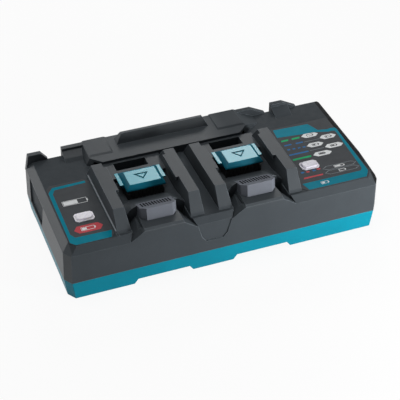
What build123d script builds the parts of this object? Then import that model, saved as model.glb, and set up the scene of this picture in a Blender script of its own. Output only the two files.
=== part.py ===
from build123d import *
import os
from math import cos, radians, sin

# Two-bay charger for slide-on tool battery packs. Millimetres, +Z up, +X to the right.
# The origin is on the resting plane, under the middle of the case; the front faces -Y.
# A "setback" is a distance behind the front face.

# --- case ---------------------------------------------------------------------------
length = 342.0              # between the end walls, at the seam
depth = 158.0               # front face to rear face
seam_height = 20.5          # where the base tray meets the housing
panel_height = 62.0         # top of the two side panels
bevel_height = 7.0          # bevel round the side panels
left_bevel = 7.5            # its reach in from each side
front_bevel = 6.0
rear_bevel = 4.2
right_bevel = 6.0           # at the front end of the right side
right_bevel_rear = 1.8      # and at the rear end
right_bevel_drop = 4.6      # depth of the right side's bevel at the front end
right_bevel_rise = 0.105    # its foot rises by this for each length towards the rear
right_bevel_rear_drop = 0.8
end_draft = 1.0             # lean of each housing end wall
base_draft = 2.5            # lean of each base tray end wall
base_front_draft = 0.6      # lean of the base tray's front and rear walls
corner_cut_x = 6.0          # flat across each upright corner, along X
corner_cut_y = 9.0          # and along Y
rear_cut_x = 2.0            # the same at the two rear corners
rear_cut_y = 2.5
wall = 3.0                  # thickness of the mouldings
running_gap = 0.3           # between pieces that move past each other
snug_gap = 0.1              # between a piece and the opening that it sits in
overrun = 1.0               # how far a cut or a join runs past the face that it meets
cavity_edge = 1.2           # drop and inset of the cavity's bevelled edge
seam_rim_height = 2.0       # locating rim that stands inside the seam
seam_rim_wall = 1.2
end_dish_depth = 1.4        # shallow dish in each end wall
end_dish_start = 84.0       # its front end, a setback
end_dish_length = 54.0
end_dish_lean = 9.0         # its front end leans back towards the base
end_dish_low = 23.0
end_dish_high = 54.0
inset_depth = 0.9           # shallow inset in the front face, between the bays
inset_low = 34.0
inset_low_half_width = 9.0
inset_knee = 39.5
inset_knee_half_width = 13.5

# --- feet ---------------------------------------------------------------------------
foot_height = 5.5
foot_slope = 4.0            # length of the slope at the end of a foot
front_foot_depth = 35.0
rear_foot_depth = 20.0
left_foot_length = 70.0     # from the left end wall
right_foot_length = 101.0   # from the right end wall
middle_foot_length = 44.0
middle_foot_offset = -0.9   # its middle, from the middle of the pair of bays
end_skirt = 18.0            # strip at each end whose underside is lower than the tray's
end_skirt_lift = 2.0

# --- bays ---------------------------------------------------------------------------
bay_pitch = 106.8
bays_offset = -15.1         # middle of the pair of bays
deck_rise = 5.5             # bay deck above the side panels
deck_half_width = 20.5      # narrow deck between the two channels
deck_wide_setback = 88.0    # behind this the deck reaches from rail to rail
tongue_bevel = 2.0          # front edge of the deck
tongue_flare = 15.0         # reach of the notch beside the deck, on the front face
pocket_half_width = 30.5    # bay middle to the outer side of each front pocket
pocket_mouth_depth = 8.0    # where the notch has narrowed to the pocket
pocket_mouth_drop = 4.0     # and its depth there, below the side panels
pocket_drop = 12.0          # pocket's deepest corner, below the side panels
ramp_setback = 28.5         # ramp from the air outlet down to the terminal block
ramp_length = 27.0
ramp_rise = 14.0            # ramp's front end above the side panels
ramp_half_width = 19.0
ramp_foot_rise = 0.8
shoulder_half_width = 24.2
shoulder_rise = 11.6
shoulder_rear_half_width = 21.1
ramp_edge_rise = 4.9        # beside the rails, at the ramp's front end
rail_gap_half = 33.5        # bay middle to a rail's inner top edge
rail_width = 11.3
rail_rise = 20.0            # rail crest above the side panels
rail_foot_setback = 8.4
rail_crest_setback = 24.0
rail_rear_setback = 100.0
rail_inner_draft = 2.5
rail_outer_draft = 0.7
rail_lip_reach = 3.2        # overhang that holds the pack down
rail_lip_thickness = 4.5
rail_lip_start = 51.5
rail_lip_end = 92.0
rail_wall = 2.5
latch_half_width = 17.4     # pocket for the pack's latch hook
latch_start = 100.5
latch_length = 13.0
latch_pocket_depth = 12.0
foot_bead_width = 1.2       # fine bead along the left bay's outer rail
foot_bead_height = 0.8

# --- raised rear block ----------------------------------------------------------------
plateau_setback = 116.0
plateau_rise = 9.0
plateau_left_reach = 38.5   # left bay middle to the block's left edge
plateau_right_reach = 31.2  # right bay middle to its right edge
plateau_corner = 11.0
plateau_ramp_corner = 22.0  # the same on the ramp, along Y
plateau_left_lean = 4.0
plateau_right_ramp = 19.0
pad_rise = 1.2
pad_bevel = 2.5
pad_front_margin = 12.0     # plateau front edge to the front of a pad
left_pad_length = 27.0
right_pad_length = 32.0
ridge_margin = 34.0         # block's left edge to the ridge
ridge_length = 104.0
ridge_setback = 140.0
ridge_foot_depth = 12.0
ridge_rise = 11.0
ridge_face_lean = 3.5
ridge_top_depth = 3.2
ridge_end_lean = 6.0
lip_thickness = 5.5         # upright lip along the rear edge
lip_rise = 9.0
lip_lean = 3.5              # lean of the lip's left end
left_lip_length = 17.5
notch_length = 22.5
notch_slope = 7.0
lip_right_margin = 2.0      # foot of the block's ramp to the lip's right end
hump_margin = 60.0          # right end wall to the hump
hump_length = 14.0
hump_slope = 17.0
hump_ramp_overhang = 5.7    # ramp behind the right panel, past the hump
lip_ramp_depth = 14.0
lip_ramp_rise = 6.0

# --- terminal cover and block -----------------------------------------------------------
block_setback = 56.0
block_length = 30.0
block_half_width = 19.6
block_rise = 11.6           # block top above the side panels
block_flange = 2.0
block_depth = 7.0           # block below the panels' underside
block_ribs = 9
block_rib_pitch = 4.0
block_rib_width = 1.6
block_rib_depth = 1.0
cover_setback = 54.5
cover_length = 32.0
cover_half_width = 20.7
cover_wall = 1.8
cover_roof = 1.7
cover_rim = 1.4             # upright rim below the slopes
cover_height = 6.1          # top above the rim's lower edge
cover_slope_x = 4.2
cover_slope_front = 2.6
cover_slope_rear = 7.0
cover_wing_reach = 3.7
cover_wing_start = 11.0     # from the cover's front edge
cover_hook_reach = 2.4      # rails that clip under the block's upper edge
cover_hook_thickness = 1.4
cover_groove_height = 2.2
cover_travel = 10.0
arrow_width = 15.0
arrow_length = 9.5
arrow_height = 0.4
arrow_line = 1.1
arrow_tip_line = 1.8        # line at the tip, along Y
post_setback = 59.5         # spring post on the block
post_thickness = 1.8
post_half_width = 2.2
post_height = 4.2
spring_length = 16.5
spring_radius = 1.7
spring_wire = 0.4
spring_turns = 7.0
blade_thickness = 1.0
blade_length = 16.0
blade_setback = 65.0
blade_height = 4.0          # above the block
blade_tail = 2.5            # below the block
power_blade_offset = 13.5
signal_blade_offset = 5.4
signal_blade_pitch = 2.7
signal_blade_length = 9.0
lead_radius = 1.5

# --- air outlet, duct and fan ---------------------------------------------------------------
hood_setback = 12.5
hood_length = 22.5
hood_half_width = 18.7
hood_rise = 13.5            # front top edge above the deck
hood_corner_x = 5.2
hood_corner_y = 5.5
hood_front_lean = 2.2
hood_wall = 1.8
hood_roof = 2.2
comb_slots = 11
comb_pitch = 2.9
comb_slot_width = 1.5
comb_slot_length = 10.5
comb_setback = 22.0
duct_wall = 1.6
duct_top_half_width = 16.4
duct_top_setback = 15.5
duct_top_length = 18.5
duct_neck_drop = 18.0       # straight part of the duct below the deck
fan_size = 40.0
fan_height = 15.0
fan_setback = 33.0
fan_rim = 1.5               # least wall of the frame round its bore
fan_corner = 4.0
fan_screw_inset = 4.0
fan_post_radius = 1.5
fan_post_flare = 6.0
fan_post_drop = 1.0         # frame top to the top of the shaft
fan_spoke_width = 2.2
fan_spoke_height = 2.0
fan_hub_radius = 8.5
fan_hub_height = 10.0
fan_bearing_clearance = 0.05
fan_end_float = 0.4
fan_blades = 7
fan_tip_gap = 0.9
fan_blade_chord = 9.0
fan_blade_thickness = 1.1
fan_blade_angle = 38.0
grille_slot_width = 3.0
grille_slot_length = 30.0
grille_pitch = 5.4
grille_slots = 6

# --- labels, lenses and light boards -----------------------------------------------------------
label_thickness = 0.4
label_margin = 1.0          # label edge to the panel's bevel
label_corner = 5.0
left_label_length = 99.0
right_label_length = 113.0
label_rail_gap = 1.0
lens_width = 19.8
lens_length = 13.6
lens_corner = 2.4
lens_stand = 1.2            # upright edge above the panel
lens_crown = 1.8            # block above that
lens_crown_inset = 1.0      # ledge round the block
lens_crown_slope = 1.0
lens_flange = 2.5
lens_flange_thickness = 1.2
lens_setback = 45.8
left_lens_shift = 1.6       # lens middle from the middle of the left panel
right_lens_margin = 24.9    # right bay's rail to the lens middle
light_board_overhang = 10.0 # light board past the lens, at each end
light_board_width = 22.0
light_board_drop = 5.0      # panel underside to the board
light_post_radius = 2.6
light_post_margin = 4.0
led_radius = 1.5
led_height = 3.0
led_pitch = 6.0

# --- boards, fasteners and inner pieces -------------------------------------------------------------
board_thickness = 1.6
board_margin = 17.0         # board end to the case end wall
board_setback = 60.0
board_depth = 78.0
board_lift = 5.5            # above the tray floor
board_post_radius = 3.4
board_post_inset = 6.0
case_screw_inset_x = 14.0
case_screw_inset_y = 12.5
boss_radius = 5.0
case_screw_radius = 2.0
case_screw_length = 22.0
case_screw_head = 3.6
case_screw_head_height = 2.6
case_screw_recess = 3.5     # head recess, from the underside of the foot
small_screw_radius = 1.2
small_screw_head = 2.4
small_screw_head_height = 1.6
small_screw_length = 5.0
screw_tip_gap = 0.5         # screw tip to the end of its hole
screw_slot_reach = 0.6      # shares of the head's radius and height
screw_slot_width = 0.15
screw_slot_depth = 0.5
thread_clearance = 0.05
cord_bore_radius = 4.0
cord_bush_radius = 7.5
cord_flange_radius = 9.5
cord_flange_thickness = 2.0
cord_boss_radius = 12.0
cord_boss_depth = 9.0
cord_margin = 53.0          # left end wall to the cord's middle
cord_height = 36.0
rear_vent_slots = 12
rear_vent_pitch = 6.0
rear_vent_width = 2.6
rear_vent_height = 18.0
rear_vent_low = 30.0
transformer_shift = 0.0     # from the middle of the pair of bays
transformer_width = 42.0
transformer_height = 34.0
transformer_thickness = 16.0
transformer_yoke = 6.0
transformer_leg = 12.0
winding_gap = 0.4
winding_build = 7.0
capacitor_margin = 57.0     # board's left end to the capacitors
capacitor_radius = 11.0
capacitor_height = 30.0
capacitor_pitch = 26.0
film_capacitor_size = (26.0, 10.0, 18.0)
film_capacitor_gap = 1.0    # to the board's rear posts
filter_margin = 26.0        # board's left end to the mains filter
choke_radius = 9.0
choke_core_radius = 3.6
choke_winding_build = 1.6
choke_gap = 8.0
fuse_length = 20.0
fuse_radius = 2.6
fuse_shift = -17.0          # from the middle of the pair of bays
fuse_setback = 11.0         # board's front edge to the fuse
clip_width = 5.0
clip_wall = 1.0
clip_height = 7.0
heat_sink_width = 24.0
heat_sink_height = 28.0
heat_sink_length = 52.0
heat_sink_base = 4.0
heat_sink_fins = 6
heat_sink_fin = 1.6
heat_sink_margin = 24.0     # board's right end to the outer heat sink
heat_sink_pitch = 38.0
transistor_size = (4.5, 10.0, 16.0)
transistor_pitch = 16.0
buzzer_shift = 3.0          # from the middle of the pair of bays
buzzer_setback = 8.0        # board's front edge to its middle
buzzer_radius = 6.0
buzzer_height = 9.0

# --- worked out from the values above --------------------------------------------------------
front = -depth / 2
rear = depth / 2
bay_xs = {"left": bays_offset - bay_pitch / 2, "right": bays_offset + bay_pitch / 2}
front_edge_height = panel_height - bevel_height
panel_underside = panel_height - wall
deck_height = panel_height + deck_rise
deck_underside = deck_height - wall
plateau_height = panel_height + plateau_rise
rail_height = panel_height + rail_rise
rail_outer = rail_gap_half + rail_width
rail_foot_inner = rail_gap_half - rail_inner_draft
rail_foot_outer = rail_outer + rail_outer_draft
tray_floor = foot_height + wall
block_top = panel_height + block_rise
block_foot = panel_underside - block_depth
ramp_slope = (ramp_rise - ramp_foot_rise) / ramp_length
hood_end = hood_setback + hood_length
fan_bore = fan_size / 2 - fan_rim
fan_screw_offset = fan_size / 2 - fan_screw_inset
fan_blade_reach = fan_bore - fan_tip_gap
board_bottom = tray_floor + board_lift
board_top = board_bottom + board_thickness
board_front = front + board_setback
board_rear = board_front + board_depth
board_half = length / 2 - board_margin
board_middle_y = (board_front + board_rear) / 2
fan_bottom = tray_floor
fan_top = fan_bottom + fan_height
block_left = bay_xs["left"] - plateau_left_reach
block_right = bay_xs["right"] + plateau_right_reach
left_panel_start = -length / 2 + end_draft + left_bevel
left_panel_end = bay_xs["left"] - rail_foot_outer - foot_bead_width
lens_xs = {"left": (left_panel_start + left_panel_end) / 2 + left_lens_shift,
           "right": bay_xs["right"] + rail_foot_outer + right_lens_margin}
light_board_length = lens_width + 2 * light_board_overhang
light_board_top = panel_underside - light_board_drop
case_screw_xs = (-(length / 2 - case_screw_inset_x), bays_offset, length / 2 - case_screw_inset_x)
case_screw_ys = (front + case_screw_inset_y, rear - case_screw_inset_y)
left_lip_start = -length / 2 + end_draft
hump_start = length / 2 - hump_margin
cord_x = -length / 2 + cord_margin
filter_x = -board_half + filter_margin
capacitor_x = -board_half + capacitor_margin
transformer_x = bays_offset + transformer_shift
fuse_x = bays_offset + fuse_shift
buzzer_x = bays_offset + buzzer_shift
heat_sink_xs = (board_half - heat_sink_margin - heat_sink_pitch, board_half - heat_sink_margin)


def box(x0, x1, y0, y1, z0, z1):
    """A box between two corners."""
    return Pos((x0 + x1) / 2, (y0 + y1) / 2, (z0 + z1) / 2) * Box(x1 - x0, y1 - y0, z1 - z0)


def rod(x, y, z0, z1, radius):
    """An upright cylinder."""
    return Pos(x, y, (z0 + z1) / 2) * Cylinder(radius, z1 - z0)


def flat(points, z):
    """A horizontal face with straight edges at a height."""
    return Pos(0, 0, z) * make_face(Polyline(*points, close=True))


def prism(points, z0, z1):
    """An upright prism on an outline in X and Y."""
    return extrude(flat(points, z0), z1 - z0, dir=(0, 0, 1))


def profile_along_x(points, x0, x1):
    """A profile in Y and Z, drawn out along X."""
    face = make_face(Polyline(*[(x0, y, z) for y, z in points], close=True))
    return extrude(face, x1 - x0, dir=(1, 0, 0))


def profile_along_y(points, y0, y1):
    """A profile in X and Z, drawn out along Y."""
    face = make_face(Polyline(*[(x, y0, z) for x, z in points], close=True))
    return extrude(face, y1 - y0, dir=(0, 1, 0))


def cut_corners(x0, x1, y0, y1, cut_x, cut_y):
    """A rectangle's outline with its four corners cut off."""
    return [
        (x0 + cut_x, y0), (x1 - cut_x, y0), (x1, y0 + cut_y), (x1, y1 - cut_y),
        (x1 - cut_x, y1), (x0 + cut_x, y1), (x0, y1 - cut_y), (x0, y0 + cut_y),
    ]


def case_outline(inset_x, inset_y):
    """The case's eight-sided outline, pulled in by the given amounts."""
    half_x = length / 2 - inset_x
    half_y = depth / 2 - inset_y
    return [
        (-half_x + corner_cut_x, -half_y), (half_x - corner_cut_x, -half_y),
        (half_x, -half_y + corner_cut_y), (half_x, half_y - rear_cut_y),
        (half_x - rear_cut_x, half_y), (-half_x + rear_cut_x, half_y),
        (-half_x, half_y - rear_cut_y), (-half_x, -half_y + corner_cut_y),
    ]


def top_outline(inset, right_front, right_rear):
    """Outline inside the front, left and rear bevels, with its right side between two places."""
    x0 = left_panel_start + inset
    y0 = front + front_bevel + inset
    y1 = rear - rear_bevel - inset
    return [
        (x0 + corner_cut_x, y0), (right_front - corner_cut_x, y0),
        (right_front, y0 + corner_cut_y), (right_rear, y1 - rear_cut_y),
        (right_rear - rear_cut_x, y1), (x0 + rear_cut_x, y1),
        (x0, y1 - rear_cut_y), (x0, y0 + corner_cut_y),
    ]


def panel_outline(inset):
    """Outline of the side panels' flat, inside the bevel, pulled in by an amount."""
    edge = length / 2 - end_draft - inset
    return top_outline(inset, edge - right_bevel, edge - right_bevel_rear)


def rectangle(x0, x1, y0, y1):
    """A rectangle's four corners."""
    return [(x0, y0), (x1, y0), (x1, y1), (x0, y1)]


def frustum(low_points, low_z, high_points, high_z):
    """A solid with flat sides between two outlines."""
    return loft([flat(low_points, low_z), flat(high_points, high_z)], ruled=True)


def save(name, shape):
    """Write one node."""
    shape.label = name
    export_step(shape, os.path.join("parts", name + ".step"))


def group(solids):
    """Separate solids that share one node."""
    return Compound(children=[solid for item in solids for solid in item.solids()])


def screw(x, y, seat, direction, radius, screw_length, head_radius, head_height):
    """A pan-head screw whose head sits on a seat; direction is +1 when it points up."""
    head = rod(x, y, *sorted((seat, seat - direction * head_height)), head_radius)
    shank = rod(x, y, *sorted((seat, seat + direction * screw_length)), radius)
    slot_half = head_radius * screw_slot_reach
    slot_width = head_radius * screw_slot_width
    slot_depth = head_height * screw_slot_depth
    top = seat - direction * head_height
    slot = box(x - slot_half, x + slot_half, y - slot_width, y + slot_width,
               *sorted((top, top + direction * slot_depth)))
    return head + shank - slot


# --- upper housing ------------------------------------------------------------------------

def above_plane(a, b, c, reach):
    """A block that stands on the plane through three points, given anticlockwise from above."""
    origin, second, third = Vector(*a), Vector(*b), Vector(*c)
    normal = (second - origin).cross(third - origin)
    return Plane(origin=origin, x_dir=second - origin, z_dir=normal) * Box(
        2 * reach, 2 * reach, reach, align=(Align.CENTER, Align.CENTER, Align.MIN))


def right_bevels():
    """What the right side's bevels take off: at the front corner, and low and high behind it."""
    edge_x = length / 2 - end_draft
    inner_x = edge_x - right_bevel
    low_y = front + corner_cut_y
    high_y = low_y + front_bevel
    corner = above_plane((edge_x, low_y, front_edge_height), (inner_x, high_y, panel_height),
                         (edge_x - corner_cut_x, front, front_edge_height), right_bevel * 2)
    foot = panel_height - right_bevel_drop
    steep = above_plane((edge_x, high_y, foot), (edge_x, high_y + depth, foot + depth * right_bevel_rise),
                        (inner_x, high_y, panel_height), depth)
    slope = right_bevel_rear_drop / right_bevel_rear
    slight = profile_along_y(
        [(edge_x - right_bevel_rear, panel_height),
         (edge_x + overrun, panel_height - right_bevel_rear_drop - slope * overrun),
         (edge_x + overrun, panel_height + overrun),
         (edge_x - right_bevel_rear, panel_height + overrun)], front, rear)
    return [corner, steep, slight]


def housing_body():
    """Outer form of the housing up to the side panels, with its bevel."""
    edge_x = length / 2 - end_draft
    walls = frustum(case_outline(0, 0), seam_height,
                    case_outline(end_draft, 0), front_edge_height)
    body = walls + frustum(case_outline(end_draft, 0), front_edge_height,
                           top_outline(0, edge_x, edge_x), panel_height)
    for bevel in right_bevels():
        body -= bevel
    return body


def housing_cavity():
    """Room inside the housing below the side panels."""
    walls = frustum(case_outline(wall, wall), seam_height - overrun,
                    case_outline(end_draft + wall, wall), front_edge_height - cavity_edge)
    crown = frustum(case_outline(end_draft + wall, wall), front_edge_height - cavity_edge,
                    panel_outline(cavity_edge), panel_underside)
    return walls + crown


def plateau():
    """Raised rear block: steep on the left, a ramp down to the right panel."""
    front_y = front + plateau_setback
    low_left = block_left - plateau_left_lean
    low_right = block_right + plateau_right_ramp
    low = [
        (low_left, rear), (low_left, front_y + plateau_corner), (block_left + plateau_corner, front_y),
        (block_right - plateau_corner, front_y), (low_right, front_y + plateau_ramp_corner),
        (low_right, rear),
    ]
    high = [
        (block_left, rear), (block_left, front_y + plateau_corner),
        (block_left + plateau_corner, front_y), (block_right - plateau_corner, front_y),
        (block_right, front_y + plateau_corner), (block_right, rear),
    ]
    slope = frustum(low, panel_height, high, plateau_height)
    return slope + prism(low, front_edge_height - wall, panel_height)


def pad(x0, x1):
    """A raised pad on the rear block, with bevelled ends."""
    front_y = front + plateau_setback + pad_front_margin
    low = rectangle(x0, x1, front_y, rear)
    high = rectangle(x0 + pad_bevel / 2, x1 - pad_bevel, front_y + pad_bevel, rear)
    return frustum(low, plateau_height, high, plateau_height + pad_rise)


def ridge():
    """Grip ridge across the middle of the rear block."""
    front_y = front + ridge_setback
    ridge_start = block_left + ridge_margin
    low = rectangle(ridge_start, ridge_start + ridge_length, front_y, front_y + ridge_foot_depth)
    top_y = front_y + ridge_face_lean
    high = rectangle(ridge_start + ridge_end_lean, ridge_start + ridge_length - ridge_end_lean,
                     top_y, top_y + ridge_top_depth)
    return frustum(low, plateau_height, high, plateau_height + ridge_rise)


def rear_lip():
    """Upright lip along the rear edge, broken by two notches, with ramps behind the panels."""
    low = front_edge_height - wall
    top = panel_height + lip_rise
    notch_start = left_lip_start + left_lip_length
    notch_end = notch_start + notch_length
    lip_y = rear - lip_thickness
    outline_left = [(left_lip_start, low), (left_lip_start + lip_lean, top), (notch_start, top),
                    (notch_start + notch_slope, panel_height), (notch_start + notch_slope, low)]
    outline_middle = [(notch_end, low), (notch_end, top), (block_left, top), (block_left, low)]
    right_end = block_right + plateau_right_ramp
    outline_right = [(block_right, low), (block_right, top), (right_end - lip_right_margin, top),
                     (hump_start - notch_slope, panel_height), (hump_start - notch_slope, low)]
    hump_end = hump_start + hump_length
    outline_hump = [(hump_start, low), (hump_start, top), (hump_end, top),
                    (hump_end + hump_slope, panel_height), (hump_end + hump_slope, low)]
    lips = [profile_along_y(outline, lip_y, rear)
            for outline in (outline_left, outline_middle, outline_right, outline_hump)]
    ramp = [(lip_y - lip_ramp_depth, panel_height - wall / 2), (lip_y, panel_height - wall / 2),
            (lip_y, panel_height + lip_ramp_rise), (lip_y - lip_ramp_depth, panel_height)]
    ramps = [profile_along_x(ramp, notch_end, block_left),
             profile_along_x(ramp, hump_start, hump_end + hump_ramp_overhang)]
    return sum(lips + ramps, start=Part())


def rail(x, side):
    """One bay rail; side is -1 for the left rail and +1 for the right one."""
    inner_low, outer_low = side * rail_foot_inner, side * rail_foot_outer
    inner_high, outer_high = side * rail_gap_half, side * rail_outer
    low = rectangle(x + min(inner_low, outer_low), x + max(inner_low, outer_low),
                    front + rail_foot_setback, front + plateau_setback)
    high = rectangle(x + min(inner_high, outer_high), x + max(inner_high, outer_high),
                     front + rail_crest_setback, front + rail_rear_setback)
    lip_inner = side * (rail_gap_half - rail_lip_reach)
    lip_outer = side * (rail_gap_half + rail_wall)
    lip = box(x + min(lip_inner, lip_outer), x + max(lip_inner, lip_outer),
              front + rail_lip_start, front + rail_lip_end,
              rail_height - rail_lip_thickness, rail_height)
    return frustum(low, panel_height - wall / 2, high, rail_height) + lip


def rail_cavity(x, side):
    """Hollow inside a rail."""
    inner = side * (rail_gap_half + rail_wall)
    outer = side * (rail_outer - rail_wall)
    return box(x + min(inner, outer), x + max(inner, outer),
               front + rail_crest_setback + rail_wall, front + rail_rear_setback - rail_wall,
               panel_underside - overrun, rail_height - rail_wall)


def deck(x):
    """Bay deck: a short tongue at the front and a full-width part at the rear."""
    low = front_edge_height - wall
    tongue_end = front + ramp_setback + wall
    tongue = profile_along_x(
        [(front, low), (front, deck_height - tongue_bevel),
         (front + tongue_bevel, deck_height), (tongue_end, deck_height), (tongue_end, low)],
        x - deck_half_width, x + deck_half_width)
    wide = box(x - rail_gap_half, x + rail_gap_half, front + deck_wide_setback,
               front + plateau_setback, low, deck_height)
    return tongue + wide


def deck_flare(x):
    """Front face carried up beside the tongue, to the notches' sloped edges."""
    low = front_edge_height - wall
    reach = deck_half_width + tongue_flare
    outline = [(x - reach, low), (x - reach, front_edge_height),
               (x - deck_half_width, deck_height - tongue_bevel),
               (x + deck_half_width, deck_height - tongue_bevel),
               (x + reach, front_edge_height), (x + reach, low)]
    return profile_along_y(outline, front, front + pocket_mouth_depth)


def side_to_side(x, half_outline, low):
    """Outline symmetrical about a bay's middle, from one side's points, closed at a height."""
    left = [(x - reach, z) for reach, z in half_outline]
    right = [(x + reach, z) for reach, z in reversed(half_outline)]
    edge = half_outline[0][0]
    return left + right + [(x + edge, low), (x - edge, low)]


def section(points, y):
    """An upright face across a bay, from points in X and Z."""
    return make_face(Polyline(*[(x, y, z) for x, z in points], close=True))


def ramp(x):
    """Ramp with sloped shoulders, from the air outlet down to the terminal block."""
    low = panel_underside + overrun
    high_outline = side_to_side(x, [
        (pocket_half_width + overrun, panel_height + ramp_edge_rise),
        (shoulder_half_width, panel_height + shoulder_rise),
        (ramp_half_width, panel_height + ramp_rise)], low)
    foot = panel_height + ramp_foot_rise
    low_outline = side_to_side(x, [
        (pocket_half_width + overrun, panel_height + ramp_foot_rise / 4),
        (shoulder_rear_half_width, panel_height + ramp_foot_rise / 2),
        (ramp_half_width, foot)], low)
    return loft([section(high_outline, front + ramp_setback),
                 section(low_outline, front + ramp_setback + ramp_length)], ruled=True)


def pocket_shell(x, side):
    """Walls round a front pocket, inside the housing."""
    inner = side * (deck_half_width - wall)
    outer = side * (pocket_half_width + rail_wall)
    return box(x + min(inner, outer), x + max(inner, outer), front + wall / 2,
               front + ramp_setback + wall, panel_height - pocket_drop - rail_wall,
               panel_underside + overrun)


def pocket_void(x, side):
    """Front pocket beside the deck: a notch in the front edge that deepens to the rear."""
    above = rail_height + overrun

    def outline(inner, inner_z, outer, outer_z):
        return [(x + side * inner, inner_z), (x + side * outer, outer_z),
                (x + side * outer, above), (x + side * inner, above)]

    deck_edge = deck_height - tongue_bevel
    mouth = outline(deck_half_width, deck_edge, deck_half_width + tongue_flare,
                    front_edge_height)
    middle = outline(deck_half_width, deck_edge, pocket_half_width,
                     panel_height - pocket_mouth_drop)
    deep = outline(ramp_half_width, deck_edge, pocket_half_width, panel_height - pocket_drop)
    notch = loft([section(mouth, front), section(middle, front + pocket_mouth_depth)],
                 ruled=True)
    notch += profile_along_y(mouth, front - overrun, front)
    pocket = loft([section(middle, front + pocket_mouth_depth),
                   section(deep, front + ramp_setback)], ruled=True)
    return notch + pocket


def latch_pocket(x, grow):
    """Pocket for the pack's latch hook, grown by a wall for its shell."""
    return box(x - latch_half_width - grow, x + latch_half_width + grow,
               front + latch_start - grow, front + latch_start + latch_length + grow,
               deck_height - latch_pocket_depth - grow, deck_height + (0 if grow else overrun))


def bay_cavity(x):
    """Room inside the housing under one bay's tongue, ramp and rear deck."""
    inner = deck_half_width - wall
    low = panel_underside - overrun
    step = front + hood_end + snug_gap + wall
    ramp_end = front + ramp_setback + ramp_length - wall
    ramp_under = panel_underside + ramp_rise - ramp_slope * (step - front - ramp_setback)
    below = profile_along_x(
        [(front + wall, low), (front + wall, deck_underside), (step, deck_underside),
         (step, ramp_under), (ramp_end, panel_underside), (ramp_end, low)],
        x - inner, x + inner)
    wide_half = rail_foot_inner - rail_wall
    wide = box(x - wide_half, x + wide_half, front + deck_wide_setback + wall,
               front + plateau_setback + overrun, low, deck_underside)
    return below + wide


def lens_outline(x, grow):
    """Eight-sided outline of an indicator lens."""
    middle = front + lens_setback
    return cut_corners(x - lens_width / 2 - grow, x + lens_width / 2 + grow,
                       middle - lens_length / 2 - grow, middle + lens_length / 2 + grow,
                       lens_corner, lens_corner)


def light_posts(x):
    """Middles of the two posts that carry a light board."""
    reach = light_board_length / 2 - light_post_margin
    return [(x - reach, front + lens_setback), (x + reach, front + lens_setback)]


def end_dish(side):
    """Shallow dish cut into an end wall."""
    reach = length / 2 - end_draft - end_dish_depth
    y0 = front + end_dish_start
    y1 = y0 + end_dish_length
    x0, x1 = sorted((side * reach, side * (length / 2 + overrun)))
    outline = [(y0, end_dish_high), (y0 + end_dish_lean, end_dish_low),
               (y1, end_dish_low), (y1, end_dish_high)]
    return profile_along_x(outline, x0, x1)


def front_inset():
    """Shallow tapered inset in the front face, as wide as the gap between the bays' notches."""
    half = bay_pitch / 2 - deck_half_width - tongue_flare
    outline = [(half, front_edge_height + overrun), (half, front_edge_height),
               (inset_knee_half_width, inset_knee), (inset_low_half_width, inset_low)]
    points = [(bays_offset + x, z) for x, z in outline]
    points += [(bays_offset - x, z) for x, z in reversed(outline)]
    return profile_along_y(points, front - overrun, front + inset_depth)


def rear_vents():
    """Upright air slots in the rear wall."""
    start = bays_offset - (rear_vent_slots - 1) * rear_vent_pitch / 2
    slots = [box(start + i * rear_vent_pitch - rear_vent_width / 2,
                 start + i * rear_vent_pitch + rear_vent_width / 2,
                 rear - wall - overrun, rear + overrun, rear_vent_low, rear_vent_low + rear_vent_height)
             for i in range(rear_vent_slots)]
    return sum(slots, start=Part())


def cord_hole():
    """Stepped hole in the rear wall for the cord's bush."""
    through = Cylinder(cord_bush_radius, cord_boss_depth + 2 * overrun)
    step = Cylinder(cord_flange_radius, cord_flange_thickness + overrun)
    middle = rear - cord_boss_depth / 2
    step_middle = rear + (overrun - cord_flange_thickness) / 2
    turn = Rot(90, 0, 0)
    return (Pos(cord_x, middle, cord_height) * turn * through
            + Pos(cord_x, step_middle, cord_height) * turn * step)


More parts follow.
